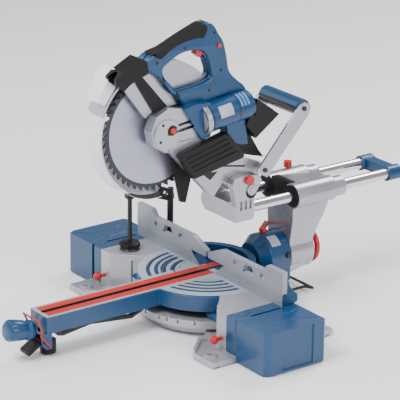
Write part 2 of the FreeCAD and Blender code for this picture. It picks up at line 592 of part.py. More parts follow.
# ---- head: blade and guards -------------------------------------------------------------
half_t = BLADE_T / 2
blade = less(cyl_x(-half_t, half_t, SPINDLE_Y, SPINDLE_Z, BLADE_R),
             cyl_x(-3, 3, SPINDLE_Y, SPINDLE_Z, SPINDLE_R))
keep("blade", blade)
keep("blade_flanges", less(cyl_x(half_t, half_t + 3.8, SPINDLE_Y, SPINDLE_Z, 25),
                           cyl_x(0, 9, SPINDLE_Y, SPINDLE_Z, SPINDLE_R)),
     less(cyl_x(-half_t - 3.8, -half_t, SPINDLE_Y, SPINDLE_Z, 22),
          cyl_x(-9, 0, SPINDLE_Y, SPINDLE_Z, SPINDLE_R)))
keep("spindle", join(cyl_x(-half_t - 3.8, 23, SPINDLE_Y, SPINDLE_Z, SPINDLE_R),
                     cyl_x(23, 28.8, SPINDLE_Y, SPINDLE_Z, 24),
                     cyl_x(28, 41, SPINDLE_Y, SPINDLE_Z, 7),
                     cyl_x(-half_t - 9.5, -half_t - 3.8, SPINDLE_Y, SPINDLE_Z, 9)))

guard_inside = GUARD_LEFT + GUARD_WALL
guard_plate = ring_x(GUARD_LEFT, guard_inside, SPINDLE_Y, SPINDLE_Z, 30 + RUN, GUARD_OUT, GUARD_START,
                     GUARD_SWEEP)
guard_rim = ring_x(GUARD_LEFT, GUARD_RIGHT, SPINDLE_Y, SPINDLE_Z, GUARD_IN, GUARD_OUT, GUARD_START,
                   GUARD_SWEEP)
guard_hub = ring_x(GUARD_LEFT, guard_inside, SPINDLE_Y, SPINDLE_Z, 30 + RUN, 40)
roller_y, roller_z = polar(SPINDLE_Y, SPINDLE_Z, 132, 276)
roller_pin = cyl_x(guard_inside - 1, -3, roller_y, roller_z, 4.2)
keep("lower_guard", join(guard_plate, guard_rim, guard_hub, roller_pin))

housing_inside = HOUSING_LEFT + 3.5
far_wall = join(ring_x(HOUSING_LEFT, housing_inside, SPINDLE_Y, SPINDLE_Z, 24, HOUSING_OUT, 10, 148),
                ring_x(HOUSING_LEFT, housing_inside, SPINDLE_Y, SPINDLE_Z, 24, 44),
                ring_x(housing_inside - 1, guard_inside + 1, SPINDLE_Y, SPINDLE_Z, 24, 30))
crown = ring_x(HOUSING_LEFT, NEAR_X, SPINDLE_Y, SPINDLE_Z, HOUSING_IN, HOUSING_OUT, 10, 148)
near_wall = ring_x(12.5, NEAR_X, SPINDLE_Y, SPINDLE_Z, 28, HOUSING_OUT, 10, 105)
keep("blade_housing", join(far_wall, crown, near_wall))

shield_outline = [(-241, 570), (-262, 542), (-282, 506), (-264, 497), (-225, 550)]
shield = less(prism_yz(GUARD_LEFT, GUARD_RIGHT, shield_outline),
              cyl_x(-60, 30, SPINDLE_Y, SPINDLE_Z, HOUSING_IN))
shield = less(shield, join(far_wall, crown, near_wall))
keep("front_shield", shield)

chip = prism_yz(NEAR_X + 1, 24, [(-115, 384), (-101, 330), (-86, 265), (-74, 262), (-58, 327), (-60, 384)])
keep("chip_deflector", less(chip, gearcase))

strip = prism_yz(NEAR_X, 24, [(-184, 546), (-168, 551), (-102, 476), (-122, 474)])
plate = prism_yz(NEAR_X, 22, [(-224, 523), (-174, 458), (-158, 470), (-202, 540)])
duct = prism_yz(NEAR_X, 26, [(-202, 540), (-185, 547), (-123, 475), (-84, 471), (-60, 476), (-60, 468),
                             (-116, 456), (-158, 469)])
plate = less(plate, gearcase_block)
duct = less(duct, gearcase_block, plate, motor)
strip = less(strip, gearcase_block, duct)
keep("guard_bracket", plate, strip)
keep("dust_duct", duct)

chute_outline = [(-258, 556), (-241, 569), (-199, 590), (-184, 582), (-179, 556), (-219, 542), (-238, 530),
                 (-256, 546)]
chute = less(prism_yz(4, 40, chute_outline), cyl_x(0, NEAR_X, SPINDLE_Y, SPINDLE_Z, HOUSING_OUT), shield,
             duct, strip, plate)
port = rod((23, -262, 552), (23, -222, 560), 11)
keep("dust_chute", less(chute, port))

# ---- head: handle -----------------------------------------------------------------------
outer = [(-178, 562), (-179, 576), (-166, 588), (-135, 597), (-99, 612), (-62, 626), (-30, 635), (-12, 625),
         (0, 606),
         (11, 590), (20, 560), (28, 525), (48, 503), (66, 488), (79, 462), (77, 430), (62, 412), (52,
                                                                                                  440), (30,
                                                                                                         474),
         (-20, 468), (-76, 462), (-96, 484), (-110, 500), (-140, 532), (-162, 548)]
opening = [(-138, 553), (-122, 567), (-89, 581), (-50, 580), (-31, 566), (-22, 545), (-18, 524), (-28, 515),
           (-60, 509),
           (-102, 505), (-112, 506), (-128, 528)]
band = [(-168, 590), (-168, 600), (-120, 622), (-40, 645), (-24, 625), (-38, 596), (-60, 600), (-118, 592),
        (-148, 576)]
envelope = curved_yz(HANDLE_LEFT, HANDLE_RIGHT, outer)
envelope = less(envelope, curved_yz(HANDLE_LEFT - 1, HANDLE_RIGHT + 1, opening))
blockers = join(cyl_x(-60, NEAR_X, SPINDLE_Y, SPINDLE_Z, HOUSING_OUT),
                rod(motor_axis(MOTOR_START[0] - 4), motor_axis(MOTOR_END[0] + 7), MOTOR_R))
envelope = less(envelope, blockers, motor, duct, strip, chute, gearcase_block)
grip = envelope.common(prism_yz(HANDLE_LEFT, HANDLE_RIGHT, band))
envelope = less(envelope, grip)
trigger_pocket = box(8, 24, -56, -12, 560, 600)
button_pocket = cyl_x(22, HANDLE_RIGHT + 1, -2, 584, 5 + RUN)
screw_spots = [(-150, 571), (-84, 589), (-16, 611), (4, 530), (-98, 493), (-25, 492)]
envelope = less(envelope, trigger_pocket, button_pocket)
for y, z in screw_spots:
    envelope = less(envelope, cyl_x(HANDLE_RIGHT - 12, HANDLE_RIGHT + 1, y, z, 3))
grip = less(grip, trigger_pocket, button_pocket)
for y, z in screw_spots:
    grip = less(grip, cyl_x(HANDLE_RIGHT - 12, HANDLE_RIGHT + 1, y, z, 3))
halfspace = box(HANDLE_SPLIT, HANDLE_RIGHT + 2, -300, 200, 380, 700)
keep("handle_shell_right", envelope.common(halfspace))
keep("handle_shell_left", less(envelope, halfspace))
keep("handle_grip", grip)
handle_screws = [cyl_x(HANDLE_RIGHT - 12, HANDLE_RIGHT - 2, y, z, 3) for y, z in screw_spots]
keep("trigger", prism_yz(8.3, 23.7, [(-50, 590), (-54, 572), (-46, 564), (-36, 569), (-24, 570), (-14, 578),
                                     (-14, 590)]))
keep("lock_off_button", cyl_x(26, HANDLE_RIGHT + 3, -2, 584, 5))

# ---- head: battery shoe, brackets and carrying handle -----------------------------------
shoe = prism_yz(-12, 60, [(79, 464), (140, 421), (80, 379), (50, 414)])
shoe = less(shoe, envelope, grip, motor, bore, rod(motor_axis(MOTOR_START[0]), motor_axis(MOTOR_END[0] + 7),
                                                   MOTOR_R))
rails_cut = join(prism_yz(-12, -6, [(124, 444), (152, 424), (88, 372), (70, 385), (110, 414)]),
                 prism_yz(54, 60, [(124, 444), (152, 424), (88, 372), (70, 385), (110, 414)]))
keep("battery_shoe", less(shoe, rails_cut))
latch = prism_yz(10, 40, [(79, 378.9), (66, 396), (40, 352), (79, 339), (112, 330), (100, 345)])
keep("battery_latch", less(latch, swing_arm, motor, shoe))

bracket_outline = [(74, 311), (100, 295), (206, 412), (212, 430), (196, 440), (184, 436)]
right_bracket = prism_yz(BRACKET_IN, BRACKET_OUT, bracket_outline)
left_bracket = prism_yz(-66, -60, bracket_outline)
keep("carry_brackets", right_bracket, left_bracket)
keep("carry_handle", cyl_x(-60, BRACKET_IN, CARRY_Y + 9, CARRY_Z - 4, CARRY_R))
screw_axes = ((TIE_Y - 4, TIE_Z), (CARRY_Y + 9, CARRY_Z - 4))
bracket_screws = [cyl_x(x, x + 3, y, z, 5) for x in (BRACKET_OUT, -69) for y, z in screw_axes]
keep("head_screws", *handle_screws, *bracket_screws)

keep("spindle_lock", cyl_x(42.6, 49, lock_y, lock_z, 6))

# ---- clamp ------------------------------------------------------------------------------
post = join(cyl_z(SOCKET_Z + 3, 209, CLAMP_X, SOCKET_Y, POST_R))
arm_bar = prism_yz(CLAMP_X - 6, CLAMP_X + 6, [(SOCKET_Y + 7, 186), (SOCKET_Y + 4, 204), (-20, 230),
                                              (CLAMP_Y - 10, 224),
                                             (CLAMP_Y - 10, 208), (-24, 204), (SOCKET_Y - 8, 182)])
clamp_arm = join(post, arm_bar, cyl_z(206, 226, CLAMP_X, CLAMP_Y, 9))
clamp_arm = less(clamp_arm, cyl_z(190, 240, CLAMP_X, CLAMP_Y, CLAMP_SCREW_R + RUN))
keep("clamp_arm", clamp_arm)
keep("clamp_screw", join(cyl_z(104, 232, CLAMP_X, CLAMP_Y, CLAMP_SCREW_R),
                         cone_z(TABLE_Z + GAP, 108, CLAMP_X, CLAMP_Y, 22, 12)))

# ---- write ------------------------------------------------------------------------------
os.makedirs("parts", exist_ok=True)
for name, shape in parts.items():
    shape.exportStep("parts/" + name + ".step")
print(len(parts), "parts")
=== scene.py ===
import json
import math

import bmesh
import bpy
from mathutils import Matrix, Vector

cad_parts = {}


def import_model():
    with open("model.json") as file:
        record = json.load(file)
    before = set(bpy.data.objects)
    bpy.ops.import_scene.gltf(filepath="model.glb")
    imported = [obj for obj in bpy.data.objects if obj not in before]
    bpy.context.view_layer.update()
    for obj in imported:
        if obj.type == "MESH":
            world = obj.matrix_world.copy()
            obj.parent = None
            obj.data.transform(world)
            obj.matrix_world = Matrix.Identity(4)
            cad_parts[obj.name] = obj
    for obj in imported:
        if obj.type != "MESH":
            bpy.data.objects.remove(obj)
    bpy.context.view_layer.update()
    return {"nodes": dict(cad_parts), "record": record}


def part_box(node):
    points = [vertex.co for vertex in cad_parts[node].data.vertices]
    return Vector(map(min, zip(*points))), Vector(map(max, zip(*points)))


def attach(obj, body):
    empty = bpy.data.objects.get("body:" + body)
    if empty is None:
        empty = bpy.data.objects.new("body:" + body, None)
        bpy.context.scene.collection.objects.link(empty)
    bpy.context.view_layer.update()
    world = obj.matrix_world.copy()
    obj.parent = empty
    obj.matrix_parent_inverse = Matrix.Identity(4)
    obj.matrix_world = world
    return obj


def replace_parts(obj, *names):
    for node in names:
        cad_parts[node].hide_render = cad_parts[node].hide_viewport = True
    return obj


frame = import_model()

MM = 0.001
NODES = frame["nodes"]

# ---- places, taken from the frame ---------------------------------------------------------


def middle(node):
    low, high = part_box(node)
    return [(a + b) / 2 for a, b in zip(low, high)]


def half_size(node, axis):
    low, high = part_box(node)
    return (high[axis] - low[axis]) / 2


SPINDLE = middle("blade")
BLADE_R = half_size("blade", 1)
BLADE_HALF = half_size("blade", 0)
PIVOT = middle("pivot_shaft")
BORE_R = 0.012
DISC_R = 0.112          # the bright disc inside the darker toothed rim
TEETH = 48
# share of a tooth's pitch, and depth below the tip in millimetres
TOOTH = ((0.0, 0.2), (0.06, 8.5), (0.30, 9.5), (0.45, 5.5), (0.72, 1.8), (0.94, 0.0))

# places on the painted castings, in metres
RING_PITCH = 0.0170             # spacing of the arcs on the turntable
RING_BAND = (58 * MM, 131 * MM)
RING_CLEAR_X = 36 * MM          # the arcs stop short of the arm
RING_REAR_Y = -10 * MM
PLATE_REAR_Y = 16 * MM          # the top plate is blue behind the fence
PLATE_EDGE_Z = 90.6 * MM
KERF_STRIP_HALF = 6.5 * MM
SCORE_PITCH = 5.5 * MM          # upright scoring on the fence's face
SCORE_WIDTH_CUT = 0.72
SCORE_DEPTH = 0.35
SCORE_TOP_Z = 112 * MM
FENCE_FACE_Y = 0.8 * MM
SLIDING_FACE_Y = 11.4 * MM
CAP_SEAM_Z = 221 * MM
GRIP_SEAM_Z = 0.4935            # where the carrying handle turns from blue to black, with its lean
GRIP_SEAM_LEAN = 0.35

# the motor's axis and radius, in millimetres
MOTOR_FRONT = (36, -50, 437)
MOTOR_REAR = (36, 64, 451)
MOTOR_R = 31

# ---- materials ------------------------------------------------------------------------------

BLUE = (0.001, 0.046, 0.135)
LIGHT = (0.44, 0.44, 0.48)
SILVER = (0.42, 0.42, 0.47)
BLACK = (0.006, 0.006, 0.007)
RED = (0.48, 0.006, 0.005)
KERF_RED = (0.52, 0.016, 0.010)
STEEL = (0.50, 0.50, 0.53)

NOISE_BAND = (0.3, 0.7)     # the part of a noise texture's range that is used
PATCH_SCALE = 14.0          # broad, soft patches of tone and gloss
GLOSS_SPREAD = 0.18
COAT_ROUGHNESS = 0.12
EDGE_BAND = (0.995, 0.80)   # cosine of flat and rounded normals, on a flat face and on a worn edge
RELIEF = 0.0006
WEAR_GAIN = 2.2             # worn edges show a lighter tone of the same paint
WEAR_LIFT = 0.03
MIX_FACTOR, MIX_FIRST, MIX_SECOND, MIX_RESULT = 0, 6, 7, 2      # sockets of a colour mix node


def link(tree, a, out, b, into):
    tree.links.new(a.outputs[out], b.inputs[into])


def noise(tree, place, scale, detail):
    node = tree.nodes.new("ShaderNodeTexNoise")
    node.inputs["Scale"].default_value = scale
    node.inputs["Detail"].default_value = detail
    link(tree, place, "Vector", node, "Vector")
    return node


def remap(tree, source, out, band, low, high):
    """Stretch the band of an output to low..high."""
    node = tree.nodes.new("ShaderNodeMapRange")
    node.inputs["From Min"].default_value = band[0]
    node.inputs["From Max"].default_value = band[1]
    node.inputs["To Min"].default_value = low
    node.inputs["To Max"].default_value = high
    link(tree, source, out, node, "Value")
    return node


def color_mix(tree, first, second):
    node = tree.nodes.new("ShaderNodeMix")
    node.data_type = "RGBA"
    node.inputs[MIX_FIRST].default_value = (*first, 1.0)
    node.inputs[MIX_SECOND].default_value = (*second, 1.0)
    return node


def surface(name, color, rough, metal=0.0, coat=0.0, mottle=0.08, grain=900.0, bump=0.05, edge=0.35,
            edge_radius=0.0012, stretch=(1.0, 1.0, 1.0), specular=0.5):
    """A moulded, cast or painted finish: mottled colour, uneven gloss, fine grain and worn, rounded edges."""
    material = bpy.data.materials.new(name)
    material.use_nodes = True
    tree = material.node_tree
    shader = tree.nodes["Principled BSDF"]
    shader.inputs["Metallic"].default_value = metal
    shader.inputs["Coat Weight"].default_value = coat
    shader.inputs["Coat Roughness"].default_value = COAT_ROUGHNESS
    shader.inputs["Specular IOR Level"].default_value = specular
    place = tree.nodes.new("ShaderNodeTexCoord")
    scale = tree.nodes.new("ShaderNodeMapping")
    scale.inputs["Scale"].default_value = stretch
    link(tree, place, "Object", scale, "Vector")
    broad = noise(tree, scale, PATCH_SCALE, 6.0)
    fine = noise(tree, scale, grain, 3.0)

    tone = remap(tree, broad, "Fac", NOISE_BAND, 1.0 - mottle, 1.0 + mottle)
    tint = tree.nodes.new("ShaderNodeVectorMath")
    tint.operation = "SCALE"
    tint.inputs[0].default_value = color
    link(tree, tone, "Result", tint, "Scale")

    rounded = tree.nodes.new("ShaderNodeBevel")
    rounded.samples = 4
    rounded.inputs["Radius"].default_value = edge_radius
    flat = tree.nodes.new("ShaderNodeNewGeometry")
    facing = tree.nodes.new("ShaderNodeVectorMath")
    facing.operation = "DOT_PRODUCT"
    link(tree, rounded, "Normal", facing, 0)
    link(tree, flat, "Normal", facing, 1)
    rim = remap(tree, facing, "Value", EDGE_BAND, 0.0, edge)
    worn = color_mix(tree, color, [min(1.0, c * WEAR_GAIN + WEAR_LIFT) for c in color])
    link(tree, rim, "Result", worn, MIX_FACTOR)
    link(tree, tint, "Vector", worn, MIX_FIRST)
    link(tree, worn, MIX_RESULT, shader, "Base Color")

    low_gloss = rough * (1.0 - GLOSS_SPREAD)
    high_gloss = min(1.0, rough * (1.0 + GLOSS_SPREAD))
    gloss = remap(tree, broad, "Fac", NOISE_BAND, low_gloss, high_gloss)
    link(tree, gloss, "Result", shader, "Roughness")

    relief = tree.nodes.new("ShaderNodeBump")
    relief.inputs["Strength"].default_value = bump
    relief.inputs["Distance"].default_value = RELIEF
    link(tree, fine, "Fac", relief, "Height")
    link(tree, rounded, "Normal", relief, "Normal")
    link(tree, relief, "Normal", shader, "Normal")
    return material


def blade_steel():
    """Ground steel: rings about the spindle in the gloss."""
    material = surface("blade_steel", (0.42, 0.42, 0.53), 0.30, metal=0.75, mottle=0.05, edge=0.0)
    tree = material.node_tree
    shader = tree.nodes["Principled BSDF"]
    place = tree.nodes.new("ShaderNodeTexCoord")
    offset = tree.nodes.new("ShaderNodeVectorMath")
    offset.operation = "SUBTRACT"
    offset.inputs[1].default_value = SPINDLE
    link(tree, place, "Object", offset, 0)
    flat = tree.nodes.new("ShaderNodeVectorMath")
    flat.operation = "MULTIPLY"
    flat.inputs[1].default_value = (0.0, 1.0, 1.0)
    link(tree, offset, "Vector", flat, 0)
    radius = tree.nodes.new("ShaderNodeVectorMath")
    radius.operation = "LENGTH"
    link(tree, flat, "Vector", radius, 0)
    rings = tree.nodes.new("ShaderNodeTexNoise")
    rings.noise_dimensions = "1D"
    rings.inputs["Scale"].default_value = 2600.0
    rings.inputs["Detail"].default_value = 2.0
    link(tree, radius, "Value", rings, "W")
    gloss = remap(tree, rings, "Fac", (0.0, 1.0), 0.22, 0.46)
    link(tree, gloss, "Result", shader, "Roughness")
    return material


def guard_plastic():
    """Milky polycarbonate that lets a little of what is behind it through."""
    material = surface("guard_plastic", (0.90, 0.92, 0.96), 0.24, coat=0.3, mottle=0.03, bump=0.02, edge=0.3)
    material.node_tree.nodes["Principled BSDF"].inputs["Alpha"].default_value = 0.86
    return material


LOOKS = {
    "light_casting": surface("light_casting", LIGHT, 0.38, metal=0.55, mottle=0.05, grain=1400,
                             bump=0.12, edge=0.5),
    "silver_paint": surface("silver_paint", SILVER, 0.30, metal=0.7, mottle=0.05, grain=1600,
                            bump=0.08, coat=0.15, edge=0.5),
    "blue_paint": surface("blue_paint", BLUE, 0.30, mottle=0.07, grain=1500, bump=0.06, coat=0.25, edge=0.7,
                          edge_radius=0.002),
    "blue_plastic": surface("blue_plastic", BLUE, 0.32, mottle=0.07, grain=2200, bump=0.10, coat=0.10,
                            edge=0.7, edge_radius=0.002),
    "black_plastic": surface("black_plastic", BLACK, 0.40, specular=0.25, mottle=0.15, grain=2000,
                             bump=0.14, edge=0.35),
    "black_rubber": surface("black_rubber", (0.010, 0.010, 0.011), 0.58, specular=0.2, mottle=0.12,
                            grain=1200, bump=0.25, edge=0.3),
    "red_plastic": surface("red_plastic", RED, 0.30, mottle=0.06, coat=0.2, bump=0.05, edge=0.4),
    "chrome_rail": surface("chrome_rail", (0.72, 0.72, 0.75), 0.16, metal=1.0, mottle=0.03, bump=0.03,
                           edge=0.1, stretch=(1.0, 0.02, 1.0)),
    "steel": surface("steel", STEEL, 0.32, metal=0.9, mottle=0.08, bump=0.06),
    "black_steel": surface("black_steel", (0.02, 0.02, 0.022), 0.38, metal=0.3, mottle=0.12, bump=0.08),
    "guard_plastic": guard_plastic(),
    "blade_steel": blade_steel(),
}


def paint(tree):
    """The node that scales the base colour carries it in input 0."""
    return next(n for n in tree.nodes if n.type == "VECT_MATH" and n.operation == "SCALE")


def split_paint(name, first, second, rough, rule, **more):
    """Two paints on one casting; rule builds a 0..1 factor from the place, where 0 keeps the first."""
    material = surface(name, first, rough, **more)
    tree = material.node_tree
    place = next(n for n in tree.nodes if n.type == "TEX_COORD")
    split = tree.nodes.new("ShaderNodeSeparateXYZ")
    link(tree, place, "Object", split, "Vector")
    factor = rule(tree, split)
    mix = color_mix(tree, first, second)
    tree.links.new(factor, mix.inputs[MIX_FACTOR])
    tree.links.new(mix.outputs[MIX_RESULT], paint(tree).inputs[0])
    return material


def compute(tree, operation, a, b=0.0):
    """One arithmetic node; each operand is a number or another node's output."""
    node = tree.nodes.new("ShaderNodeMath")
    node.operation = operation
    for socket, value in zip(node.inputs, (a, b)):
        if isinstance(value, (int, float)):
            socket.default_value = value
        else:
            tree.links.new(value, socket)
    return node.outputs[0]


def behind(limit):
    return lambda tree, at: compute(tree, "GREATER_THAN", at.outputs["Y"], limit)


def under(limit, lean=0.0):
    def rule(tree, at):
        height = compute(tree, "ADD", at.outputs["Z"], compute(tree, "MULTIPLY", at.outputs["Y"], lean))
        return compute(tree, "LESS_THAN", height, limit)
    return rule


def near_slot(tree, at):
    """The black strip on both sides of the blade's slot."""
    return compute(tree, "LESS_THAN", compute(tree, "ABSOLUTE", at.outputs["X"]), KERF_STRIP_HALF)


def table_rings(tree, at):
    """Blue arcs left in the machined top, and the blue casting behind the fence."""
    across, along, height = at.outputs["X"], at.outputs["Y"], at.outputs["Z"]
    square = compute(tree, "ADD", compute(tree, "MULTIPLY", across, across),
                     compute(tree, "MULTIPLY", along, along))
    radius = compute(tree, "SQRT", square)
    wave = compute(tree, "SINE", compute(tree, "MULTIPLY", radius, 2 * math.pi / RING_PITCH))
    arcs = compute(tree, "GREATER_THAN", wave, 0.0)
    for limit in (
            compute(tree, "GREATER_THAN", radius, RING_BAND[0]),
            compute(tree, "LESS_THAN", radius, RING_BAND[1]),
            compute(tree, "GREATER_THAN", compute(tree, "ABSOLUTE", across), RING_CLEAR_X),
            compute(tree, "LESS_THAN", along, RING_REAR_Y)):
        arcs = compute(tree, "MULTIPLY", arcs, limit)
    rear = compute(tree, "GREATER_THAN", along, PLATE_REAR_Y)
    edge = compute(tree, "LESS_THAN", height, PLATE_EDGE_Z)
    return compute(tree, "MAXIMUM", compute(tree, "MAXIMUM", arcs, rear), edge)


def fence_ribs(tree, at):
    """Blue casting behind the machined face, with fine upright scoring across the face."""
    wave = compute(tree, "SINE", compute(tree, "MULTIPLY", at.outputs["X"], 2 * math.pi / SCORE_PITCH))
    score = compute(tree, "MULTIPLY", compute(tree, "GREATER_THAN", wave, SCORE_WIDTH_CUT), SCORE_DEPTH)
    score = compute(tree, "MULTIPLY", score, compute(tree, "LESS_THAN", at.outputs["Z"], SCORE_TOP_Z))
    return compute(tree, "MAXIMUM", compute(tree, "GREATER_THAN", at.outputs["Y"], FENCE_FACE_Y), score)


LOOKS.update({
    "table": split_paint("table", (0.42, 0.46, 0.54), BLUE, 0.34, table_rings,
                         metal=0.25, mottle=0.05, bump=0.08),
    "fence": split_paint("fence", (0.30, 0.32, 0.36), BLUE, 0.40, fence_ribs,
                         metal=0.35, mottle=0.06, bump=0.10),
    "sliding_fence": split_paint("sliding_fence", (0.33, 0.35, 0.39), BLUE, 0.40, behind(SLIDING_FACE_Y),
                                 metal=0.35, mottle=0.06, bump=0.10),
    "kerf_plastic": split_paint("kerf", KERF_RED, BLACK, 0.42, near_slot, bump=0.1, edge=0.2),
    "two_tone_grip": split_paint("two_tone_grip", BLUE, BLACK, 0.34, under(GRIP_SEAM_Z, GRIP_SEAM_LEAN),
                                 bump=0.08),
    "two_tone_cap": split_paint("two_tone_cap", BLUE, BLACK, 0.34, under(CAP_SEAM_Z), bump=0.08),
    "tooth_steel": surface("tooth_steel", (0.045, 0.045, 0.055), 0.45, metal=0.4, mottle=0.25,
                           bump=0.1, edge=0.6),
    "label": surface("label", (0.38, 0.42, 0.50), 0.30, mottle=0.05, bump=0.02, edge=0.1),
    "vent_blue": surface("vent_blue", (0.10, 0.24, 0.44), 0.32, mottle=0.08, bump=0.05),
    # near-black: the real dark seams, the slit and the ring round the arbor, and painted shade in recesses,
    # dimples and screw holes
    "dark_gap_and_shade": surface("dark_gap_and_shade", (0.006, 0.006, 0.007), 0.6, mottle=0.2, bump=0.1),
})

LOOK_OF = {part["node"]: part["material_slot"] for part in frame["record"]["subparts"]}
LOOK_OF.update({
    "turntable_top": "table",
    "fence_casting": "fence",
    "sliding_fence_right": "sliding_fence",
    "sliding_fence_left": "sliding_fence",
    "clamp_arm": "black_steel",
    "carry_handle": "two_tone_grip",
    "rail_cap": "two_tone_cap",
})
for node, look in LOOK_OF.items():
    slots = NODES[node].data.materials
    slots.clear()
    slots.append(LOOKS[look])

# ---- shapes -----------------------------------------------------------------------------------

WELD = 0.00001              # joins the doubled points that a filled curve leaves
SLAB_SHARP = math.radians(50)
LATHE_SHARP = math.radians(40)


def add_mesh(name, mesh, *looks):
    piece = bpy.data.objects.new(name, mesh)
    bpy.context.scene.collection.objects.link(piece)
    for look in looks:
        mesh.materials.append(LOOKS[look])
    return piece


def smooth_loop(points, steps=6):
    """Catmull-Rom points through a closed outline."""
    count = len(points)
    loop = []
    for i in range(count):
        p0, p1, p2, p3 = [Vector(points[(i + k - 1) % count]) for k in range(4)]
        for s in range(steps):
            t = s / steps
            loop.append(0.5 * (2 * p1 + (p2 - p0) * t + (2 * p0 - 5 * p1 + 4 * p2 - p3) * t * t
                               + (3 * p1 - p0 - 3 * p2 + p3) * t ** 3))
    return loop


def slab(name, look, x0, x1, outlines, rounding, curved=True):
    """A rounded plate across X; outlines are (y, z) loops in millimetres, the first the outside."""
    curve = bpy.data.curves.new(name, "CURVE")
    curve.dimensions = "2D"
    curve.fill_mode = "BOTH"
    curve.extrude = ((x1 - x0) / 2 - rounding) * MM
    curve.bevel_depth = rounding * MM
    curve.bevel_resolution = 4
    curve.offset = -rounding * MM
    for outline in outlines:
        loop = smooth_loop(outline) if curved else [Vector(p) for p in outline]
        spline = curve.splines.new("POLY")
        spline.points.add(len(loop) - 1)
        for point, (y, z) in zip(spline.points, loop):
            point.co = (y * MM, z * MM, 0.0, 1.0)
        spline.use_cyclic_u = True
    holder = bpy.data.objects.new(name + "_curve", curve)
    mesh = bpy.data.meshes.new_from_object(holder)
    bpy.data.objects.remove(holder)
    stand_up = Matrix(((0, 0, 1, (x0 + x1) / 2 * MM), (1, 0, 0, 0), (0, 1, 0, 0), (0, 0, 0, 1)))
    mesh.transform(stand_up)
    shape = bmesh.new()
    shape.from_mesh(mesh)
    bmesh.ops.remove_doubles(shape, verts=shape.verts, dist=WELD)
    bmesh.ops.recalc_face_normals(shape, faces=shape.faces)
    shape.to_mesh(mesh)
    shape.free()
    mesh.shade_smooth()
    mesh.set_sharp_from_angle(angle=SLAB_SHARP)
    return add_mesh(name, mesh, look)


def lathe(name, look, start, end, profile, segments=64, flutes=0, depth=0.0, sweep=(0.0, 360.0),
          capped=True):
    """Turned about the line start-end; profile is (fraction along, radius mm), depth that of the flutes."""
    start, end = Vector(start) * MM, Vector(end) * MM
    along = end - start
    aside = Vector((1, 0, 0)) if abs(along.normalized().x) < 0.9 else Vector((0, 1, 0))
    side = along.cross(aside).normalized()
    other = along.normalized().cross(side)
    whole = sweep[1] - sweep[0] >= 360.0
    count = segments if whole else segments + 1
    shape = bmesh.new()
    rings = []
    for fraction, radius in profile:
        ring = []
        for i in range(count):
            a = math.radians(sweep[0] + (sweep[1] - sweep[0]) * i / segments)
            dip = depth * max(0.0, math.cos(flutes * a)) ** 2
            r = (radius - dip) * MM
            out = side * r * math.cos(a) + other * r * math.sin(a)
            ring.append(shape.verts.new(start + along * fraction + out))
        rings.append(ring)
    for low, high in zip(rings, rings[1:]):
        for i in range(count if whole else count - 1):
            j = (i + 1) % count
            shape.faces.new((low[i], low[j], high[j], high[i]))
    if whole and capped:
        shape.faces.new(rings[0][::-1])
        shape.faces.new(rings[-1])
    bmesh.ops.recalc_face_normals(shape, faces=shape.faces)
    mesh = bpy.data.meshes.new(name)
    shape.to_mesh(mesh)
    shape.free()
    mesh.shade_smooth()
    mesh.set_sharp_from_angle(angle=LATHE_SHARP)
    return add_mesh(name, mesh, look)


def swap(piece, body, *nodes):
    """The piece stands in for CAD nodes of the body."""
    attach(piece, body)
    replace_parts(piece, *nodes)


# ---- blade --------------------------------------------------------------------------------------


def toothed_blade():
    """A disc with hooked teeth; the rim behind them is darker."""
    shape = bmesh.new()
    tooth = 360.0 / TEETH
    outer_loop = []
    for i in range(TEETH):
        for offset, depth in TOOTH:
            outer_loop.append((BLADE_R - depth * MM, math.radians((i + offset) * tooth)))
    radii = ([BORE_R] * len(outer_loop), [DISC_R] * len(outer_loop), [r for r, a in outer_loop])
    layers = []
    for x in (SPINDLE[0] - BLADE_HALF, SPINDLE[0] + BLADE_HALF):
        rows = []
        for row in radii:
            rows.append([shape.verts.new((x, SPINDLE[1] + r * math.cos(a), SPINDLE[2] + r * math.sin(a)))
                         for r, (_, a) in zip(row, outer_loop)])
        layers.append(rows)
    count = len(outer_loop)
    for rows in layers:
        for k in (0, 1):
            for i in range(count):
                j = (i + 1) % count
                face = shape.faces.new((rows[k][i], rows[k][j], rows[k + 1][j], rows[k + 1][i]))
                face.material_index = k
    for k in (0, 2):
        for i in range(count):
            j = (i + 1) % count
            face = shape.faces.new((layers[0][k][i], layers[0][k][j], layers[1][k][j], layers[1][k][i]))
            face.material_index = 1 if k else 0
    bmesh.ops.recalc_face_normals(shape, faces=shape.faces)
    mesh = bpy.data.meshes.new("toothed_blade")
    shape.to_mesh(mesh)
    shape.free()
    piece = add_mesh("toothed_blade", mesh, "blade_steel", "tooth_steel")
    swap(piece, "blade", "blade")


toothed_blade()

# ---- handle, cover and motor ----------------------------------------------------------------------
# outlines are (y, z) in millimetres, seen from the right

HANDLE_OUTER = [(-178, 562), (-179, 576), (-166, 588), (-135, 597), (-99, 612), (-62, 626), (-30, 635),
                (-12, 625), (0, 606), (11, 590), (20, 560), (28, 525), (48, 503), (66, 488), (79, 462),
                (77, 430), (62, 412), (52, 440), (30, 474), (-20, 468), (-76, 462), (-96, 484),
                (-110, 500), (-140, 532), (-162, 548)]
HANDLE_OPENING = [(-138, 553), (-122, 567), (-89, 581), (-50, 580), (-31, 566), (-22, 545), (-18, 524),
                  (-28, 515), (-60, 509), (-102, 505), (-112, 506), (-128, 528)]
GRIP = [(-166, 590), (-135, 598.5), (-99, 613.5), (-62, 627.5), (-38, 634.5), (-27, 624), (-38, 602),
        (-60, 603), (-95, 598), (-120, 588), (-146, 574)]
COVER = [(-116, 377), (-108, 383), (-4, 408), (4, 405), (46, 352), (42, 346), (-78, 324), (-88, 327)]
RIB_INSET = 6
RIB_HALF_WIDTH = 1.68

